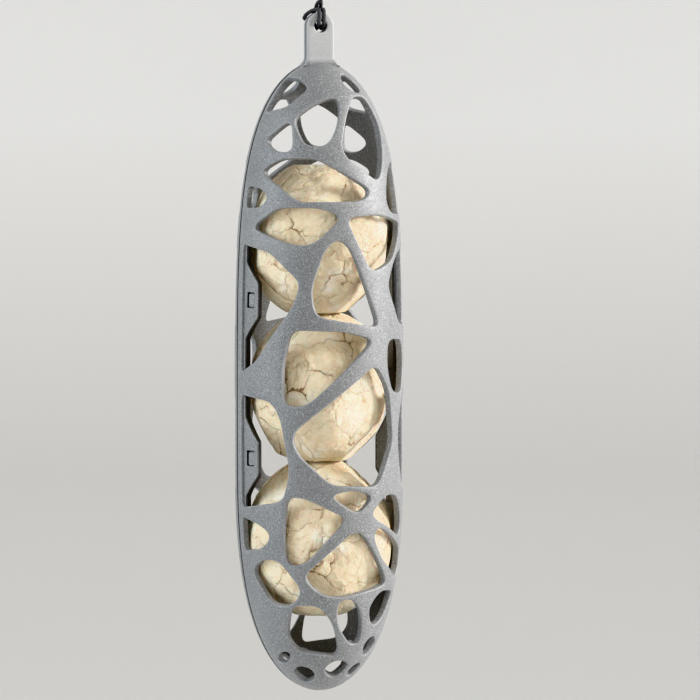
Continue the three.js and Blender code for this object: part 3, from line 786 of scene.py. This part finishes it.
def sheet(
    outline, holes, thickness, edge, spacing, place,
    depth=0.0, rim=None, painted_shade=(PLAIN, PLAIN), skin_painted_shade=0.0,
):
    """Points, faces and shades of a closed sheet with rounded edges, each point put in its place by a
    function. The edge gives the rounding at the outer and the inner skin, and the rim the outline's own rows.
    The painted shade says how dark the rows of the edge are painted, for the outline and for the holes.
    The shades are how much painted highlight and painted shade a point has, and how pale it is."""
    outline = outline if ring_area(outline) > 0 else outline[::-1]
    holes = [h if ring_area(h) < 0 else h[::-1] for h in holes]
    rings = [outline, *holes]
    on_rings = sum(map(len, rings))
    rows = [rim or edge_rows(thickness, *edge)] + [edge_rows(thickness, *edge)] * len(holes)
    points, faces, shades, starts = [], [], [], []
    for k in range(len(rows[0])):
        flat = [inset(ring, row[k][0]) for ring, row in zip(rings, rows)]
        deep = np.concatenate([np.full(len(ring), row[k][1]) for ring, row in zip(rings, rows)])
        if k in (0, len(rows[0]) - 1):
            spread, skin = filled(flat, spacing)
            deep = np.concatenate([deep, np.full(len(spread) - len(deep), rows[0][k][1])])
        else:
            spread, skin = np.vstack(flat), []
        first = sum(map(len, points))
        shade = np.zeros((len(spread), 3))
        # painted highlight on the edge's rows, full along the seam and weaker round the holes
        shade[:on_rings, 0] = HOLE_HIGHLIGHT * held(EDGE_HIGHLIGHT, k)
        if rim:
            shade[:len(outline), 0] = held(EDGE_HIGHLIGHT, k)
        # painted shade on the outer skin's inner points, and on the rows of the outline's and the holes'
        # edges
        shade[on_rings:, 1] = skin_painted_shade if k == 0 else 0.0
        shade[:len(outline), 1] = held(painted_shade[0], k)
        shade[len(outline):on_rings, 1] = held(painted_shade[1], k)
        points.append(place(spread, depth + deep))
        shades.append(shade)
        starts.append(first)
        faces += [tuple((t if k == 0 else t[::-1]) + first) for t in skin]
    before = 0
    for ring in rings:
        for above, below in zip(starts, starts[1:]):
            for i in range(len(ring)):
                j = (i + 1) % len(ring)
                corners = (above + j, above + i, below + i, below + j)
                faces.append(tuple(before + c for c in corners))
        before += len(ring)
    return np.vstack(points), faces, np.vstack(shades)


def joined(parts):
    points, faces, shades, count = [], [], [], 0
    for p, f, s in parts:
        points.append(p)
        shades.append(s)
        faces += [tuple(i + count for i in face) for face in f]
        count += len(p)
    return np.vstack(points), faces, np.vstack(shades)


def seam_outline():
    """The outline of a half, unrolled."""
    upper, lower = levels > WIDEST_Z, levels < WIDEST_Z
    tip = np.interp(TIP_RADIUS, radii[upper][::-1], levels[upper][::-1])
    tail = np.interp(TIP_RADIUS, radii[lower], levels[lower])
    low, high = np.interp([tail, tip], levels, lengths)
    z = np.interp(np.linspace(low, high, SEAM_STEPS), lengths, levels)
    right = unrolled(np.full(len(z), -LEFT_SEAM), z)
    left = unrolled(np.full(len(z), LEFT_SEAM), z)[::-1]
    return np.vstack([right, left])


def latch_outline(latch, root, lip):
    """The outline of a latch's plate or tongue, unrolled, and the height of the middle of its window."""
    top, bulge_top, flat_top, flat_bottom, bulge_bottom, bottom = map(height_at, latch)
    strip, bulge = LEFT_SEAM + PLATE_STRIP + lip, LEFT_SEAM + PLATE_BULGE + lip
    corners = [
        (root, top), (strip, top), (strip, bulge_top), (bulge, flat_top),
        (bulge, flat_bottom), (strip, bulge_bottom), (strip, bottom), (root, bottom),
    ]
    outline = softened(unrolled(*np.array(corners).T), step=0.6, times=2)
    return outline, (flat_top + flat_bottom) / 2


def square_outline(left, right, high, low):
    """The outline of a window or a barb, unrolled."""
    corners = [(left, high), (right, high), (right, low), (left, low)]
    return softened(unrolled(*np.array(corners).T), step=0.5, times=1)


def plate(latch):
    """A latch's recessed plate with its window, let into the rim along the seam."""
    outline, middle = latch_outline(latch, PLATE_ROOT, 0.0)
    left, half = LEFT_SEAM + WINDOW_FROM_SEAM, WINDOW_HEIGHT / 2
    window = square_outline(left, left + WINDOW_WIDTH, middle + half, middle - half)
    # painted shade on the plate's edge and on its window's walls
    return sheet(
        outline, [window], PLATE_THICKNESS, PLATE_EDGE, PLATE_SPACING, bent, PLATE_RECESS,
        painted_shade=(PAINTED_SHADE_EDGE, PAINTED_SHADE_WALL),
    )


def tongue(latch):
    """The tongue that reaches behind a latch's plate from the other half, with the barb in the window."""
    outline, middle = latch_outline(latch, LEFT_SEAM - TONGUE_ROOT, TONGUE_LIP)
    depth = WALL + SEAT_GAP
    # painted shade on the tongue's lip and outer skin, where it lies in shadow behind the plate
    blade = sheet(
        outline, [], TONGUE_THICKNESS, TONGUE_EDGE, TONGUE_SPACING, wrapped, depth,
        painted_shade=(PAINTED_SHADE_LIP, PLAIN), skin_painted_shade=TONGUE_PAINTED_SHADE,
    )
    left, half = LEFT_SEAM + WINDOW_FROM_SEAM, WINDOW_HEIGHT / 2
    right = left + WINDOW_WIDTH - math.degrees(WINDOW_GAP / POD_RADIUS)
    high, low = middle + half - 2 * WINDOW_GAP, middle - half + WINDOW_GAP
    foot = square_outline(left + BARB_BEHIND, right, high, low)
    start, end = foot[:, 0].min(), foot[:, 0].max()

    def ramped(flat, deep):
        share = np.clip((flat[:, 0] - start) / (end - start), 0, 1)
        rise = BARB_RISE + (BARB_TIP - BARB_RISE) * share
        return wrapped(flat, depth - rise * (1 - deep / BARB_RISE))

    return joined([blade, sheet(foot, [], BARB_RISE, BARB_EDGE, BARB_SPACING, ramped)])


def tab():
    """The tab's layer on the front half, its foot spread into the pod's top."""
    foot = np.array((TAB_HALF + TAB_FLARE, TOP_Z - WALL * TAB_SUNK))
    bow = np.array((TAB_HALF, TOP_Z - WALL * FLARE_BOW))
    side = np.array((TAB_HALF, TOP_Z + TAB_FLARE))
    curve = np.linspace(0, 1, FLARE_STEPS)[:, None]
    flare = (1 - curve) ** 2 * foot + 2 * curve * (1 - curve) * bow + curve ** 2 * side
    angle = np.linspace(0, math.pi, TAB_ROUND_STEPS)
    top = TAB_HALF * np.stack([np.cos(angle), np.sin(angle)], axis=1)
    ring = np.vstack([flare, top, flare[::-1] * (-1, 1)])
    outline = evenly(np.vstack([ring, ring[:1]]), TAB_STEP)[:-1]
    angle = np.linspace(0, 2 * math.pi, HOLE_STEPS, endpoint=False)
    hole = HOLE_RADIUS * np.stack([np.cos(angle), np.sin(angle)], axis=1)

    def place(flat, deep):
        down = np.clip((TAB_FILLET_FOOT + TAB_FILLET - flat[:, 1]) / TAB_FILLET, 0, 1)
        spread = TAB_FILLET * (1 - np.sqrt(1 - down ** 2)) * (1 - deep / TAB_THICKNESS)
        return np.stack([flat[:, 0], -TAB_FACE_Y + deep - spread, flat[:, 1]], axis=1)

    # painted shade on the wall of the hole
    points, faces, shades = sheet(
        outline, [hole], TAB_THICKNESS, TAB_EDGE, TAB_SPACING, place, painted_shade=(PLAIN, PAINTED_SHADE_WALL)
    )
    # only the tab's face, not its walls, is paler: partly its finish, partly a painted sheen
    on_face = np.clip(1.5 - (points[:, 1] + TAB_FACE_Y) / TAB_PALE_DEPTH, 0, 1)
    shades[:, 2] = on_face * np.clip((points[:, 2] - TAB_PALE_FOOT) / TAB_PALE_RISE, 0, 1)
    # painted shade where the tab's two layers meet
    near_seam = np.clip((points[:, 1] + SEAM_SHIFT + TAB_SHADE_DEPTH) / TAB_SHADE_FADE, 0, 1)
    shades[:, 1] = np.maximum(shades[:, 1], near_seam)
    return points, faces, shades


def shell_mesh():
    """A half's perforated shell with the plates of its latches and its layer of the tab."""
    openings = [softened(ring, step=1.0, times=2) for ring in opening_loops(nodes["front_shell"])]
    # painted shade in the groove along the seam
    net = sheet(
        seam_outline(), openings, WALL, SHELL_EDGE, SHELL_SPACING, bent,
        rim=groove_rows(), painted_shade=(PAINTED_SHADE_SEAM, PLAIN),
    )
    return joined([net, plate(UPPER_LATCH), plate(LOWER_LATCH), tab()])


def moulded(name, shape, turned, body, node):
    """A plastic piece made on the front of the pod, turned half round where the other half has it."""
    points, faces, shades = shape
    mesh = mesh_of(name, points * ((-1, -1, 1) if turned else (1, 1, 1)), faces)
    # edge carries a painted highlight, seam a painted shade, and tab the tab's paler face, partly its finish
    # and partly a painted sheen
    for column, shade in enumerate(("edge", "seam", "tab")):
        layer = mesh.attributes.new(shade, "FLOAT", "POINT")
        layer.data.foreach_set("value", shades[:, column].astype(np.float32))
    piece = dress(new_object(name, mesh), PLASTIC)
    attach(piece, body)
    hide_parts(node)


shell = shell_mesh()
tongues = {"upper": tongue(UPPER_LATCH), "lower": tongue(LOWER_LATCH)}
for half, turned in (("front", False), ("back", True)):
    moulded(half + "_moulding", shell, turned, half + "_half", half + "_shell")
    for level, shape in tongues.items():
        name = f"{half}_tongue_{level}"
        moulded(name + "_moulding", shape, not turned, half + "_half", name)


# The suet balls, in shares of their own size.
BALL_REST = 0.955  # where a ball's top and bottom are pressed level, as in the part's source
BALL_WORN = 0.91  # how far out its worn shoulder stands
BALL_WAIST = 0.94  # where its side is kept within its width
FLAT_COUNT = 20
FLAT_HEIGHT = 0.8  # how high and low flats are pressed
FLAT_REACH = (0.95, 0.985)
FLAT_EASE = 0.03
SWELL_HEIGHT, SWELL_SCALE = 0.016, 2.6
LUMP_HEIGHT, LUMP_SCALE = 0.009, 6.0
PIT_DEPTH, PIT_SCALE = 0.006, 13.0
PIT_FROM, PIT_SPAN = 0.42, 0.3
CREASE_DEPTH, CREASE_SCALE, CREASE_WIDTH = 0.02, 3.4, 0.1
CREASE_WANDER, CREASE_WANDER_SCALE = 0.35, 4.0
CREASE_SHARE, CREASE_SHARE_SCALE = 0.35, 1.9  # how much of the ball is creased
CREASE_SEED = 1  # which way the creases wander, the same in every run
NOISE_SHIFT = 20


def eased_least(a, b):
    """The lesser of two reaches, with the crease between them rounded."""
    share = np.clip(0.5 + 0.5 * (b - a) / FLAT_EASE, 0, 1)
    return b * (1 - share) + a * share - FLAT_EASE * share * (1 - share)


def reach_of_flat(directions, flat, reach):
    """How far out a plane square to a direction cuts each of the others."""
    return reach / np.maximum(directions @ flat, 1e-3)


def relief(p):
    """How far a ball's surface stands out at a place."""
    swell = SWELL_HEIGHT * noise.noise(p * SWELL_SCALE) + LUMP_HEIGHT * noise.noise(p * LUMP_SCALE)
    pit = PIT_DEPTH * max(0.0, noise.noise(p * PIT_SCALE) - PIT_FROM) / PIT_SPAN
    wander = CREASE_WANDER * noise.noise_vector(p * CREASE_WANDER_SCALE)
    near, next_near = noise.voronoi(p * CREASE_SCALE + wander)[0][:2]
    crease = CREASE_DEPTH * math.exp(-((next_near - near) / CREASE_WIDTH) ** 2)
    crease *= max(0.0, CREASE_SHARE + noise.noise(p * CREASE_SHARE_SCALE))
    return swell - (pit + crease)


def ball(name, seed, worn, fullness):
    """A pressed ball with flats, dents and a worn shoulder. The fullness gives how square its upper and
    its lower shoulders are."""
    low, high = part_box(name)
    middle, reach = (low + high) / 2 / MM, (high - low) / 2 / MM
    bm = bmesh.new()
    bmesh.ops.create_icosphere(bm, subdivisions=6, radius=1.0)
    directions = np.array([v.co for v in bm.verts])
    directions /= np.linalg.norm(directions, axis=1)[:, None]
    faces = [tuple(v.index for v in f.verts) for f in bm.faces]
    bm.free()
    rng = np.random.default_rng(seed)
    power = np.where(directions[:, 2] > 0, *fullness)
    level = np.hypot(directions[:, 0], directions[:, 1])
    radius = (level ** power + np.abs(directions[:, 2]) ** power) ** (-1 / power)
    worn = np.array(worn) / np.linalg.norm(worn)
    radius = np.minimum(radius, reach_of_flat(directions, worn, BALL_WORN))
    for _ in range(FLAT_COUNT):
        z = rng.uniform(-FLAT_HEIGHT, FLAT_HEIGHT)
        a = rng.uniform(0, 2 * math.pi)
        flat = np.array([math.sqrt(1 - z * z) * math.cos(a), math.sqrt(1 - z * z) * math.sin(a), z])
        radius = eased_least(radius, reach_of_flat(directions, flat, rng.uniform(*FLAT_REACH)))
    shift = Vector(rng.uniform(-NOISE_SHIFT, NOISE_SHIFT, 3))
    radius += [relief(Vector(d) + shift) for d in directions]
    radius = np.minimum(radius, 1.0 / np.maximum(level, BALL_WAIST))
    place = directions * radius[:, None]
    place[:, 2] = np.clip(place[:, 2] / BALL_REST, -1, 1)
    points = np.array(middle) + place * np.array(reach)
    piece = new_object(name + "_suet", mesh_of(name + "_suet", points, faces))
    dress(piece, SUET)
    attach(piece, "back_half")
    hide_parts(name)


noise.seed_set(CREASE_SEED)
ball("ball_lower", seed=3, worn=(0.6, -0.2, 0.7), fullness=(2.0, 2.1))
ball("ball_middle", seed=4, worn=(-0.5, 0.6, 0.62), fullness=(2.1, 2.4))
ball("ball_upper", seed=5, worn=(0.3, 0.8, -0.52), fullness=(2.1, 3.0))

# The backdrop and the light, in metres and watts.
FLOOR_Z = -1.0
FLOOR_RADIUS = 10.0
FLOOR_BEND = 3.0
WALL_TOP = 5.0
BACKDROP_STEPS = 96
WORLD_COLOUR = (1.0, 0.985, 0.955, 1.0)
WORLD_STRENGTH = 0.98


def backdrop():
    """A pale round floor that bends up into a low wall."""
    bend = np.linspace(0, math.pi / 2, 13)
    line = [(0.0, FLOOR_Z), (FLOOR_RADIUS / 2, FLOOR_Z)]
    line += [
        (FLOOR_RADIUS + FLOOR_BEND * math.sin(a), FLOOR_Z + FLOOR_BEND * (1 - math.cos(a)))
        for a in bend
    ]
    line += [(FLOOR_RADIUS + FLOOR_BEND, WALL_TOP)]
    mesh = bpy.data.meshes.new("backdrop")
    bm = bmesh.new()
    verts = [bm.verts.new((reach, 0.0, z)) for reach, z in line]
    edges = [bm.edges.new(pair) for pair in zip(verts, verts[1:])]
    bmesh.ops.spin(
        bm, geom=verts + edges, cent=(0, 0, 0), axis=(0, 0, 1), angle=2 * math.pi, steps=BACKDROP_STEPS
    )
    bmesh.ops.remove_doubles(bm, verts=bm.verts, dist=1e-4)
    bmesh.ops.recalc_face_normals(bm, faces=bm.faces)
    bm.to_mesh(mesh)
    bm.free()
    shade_smooth(mesh)
    made = new_object("backdrop", mesh)
    m = Nodes("pale_backdrop")
    height = m.tree.nodes.new("ShaderNodeSeparateXYZ")
    m.link(m.place, height.inputs["Vector"])
    pale = m.mix(m.span(m.noise(0.0005), 0.3, 0.7), BACKDROP_PALE, BACKDROP_PALER)
    colour = m.mix(m.span(height.outputs["Z"], FLOOR_Z / MM, 0.0), FLOOR_GREY, pale)
    made.data.materials.append(m.set(Base_Color=colour, Roughness=0.9))


backdrop()


def area_light(name, place, towards, size, power, colour):
    data = bpy.data.lights.new(name, "AREA")
    data.shape = "DISK"
    data.size = size
    data.energy = power
    data.color = colour
    made = new_object(name, data)
    made.location = place
    look_along(made, Vector(towards) - Vector(place))


area_light(
    "key", place=(1.79, -0.65, 0.45), towards=(0, 0, -0.15), size=0.9, power=74.0, colour=(1.0, 0.99, 0.98)
)
area_light(
    "fill", place=(-1.84, -0.2, 0.35), towards=(0, 0, -0.1), size=1.4, power=28.0, colour=(0.8, 0.9, 1.0)
)

world = bpy.data.worlds.new("studio")
world.use_nodes = True
world.node_tree.nodes["Background"].inputs["Color"].default_value = WORLD_COLOUR
world.node_tree.nodes["Background"].inputs["Strength"].default_value = WORLD_STRENGTH
bpy.context.scene.world = world
bpy.context.scene.view_settings.view_transform = "Khronos PBR Neutral"
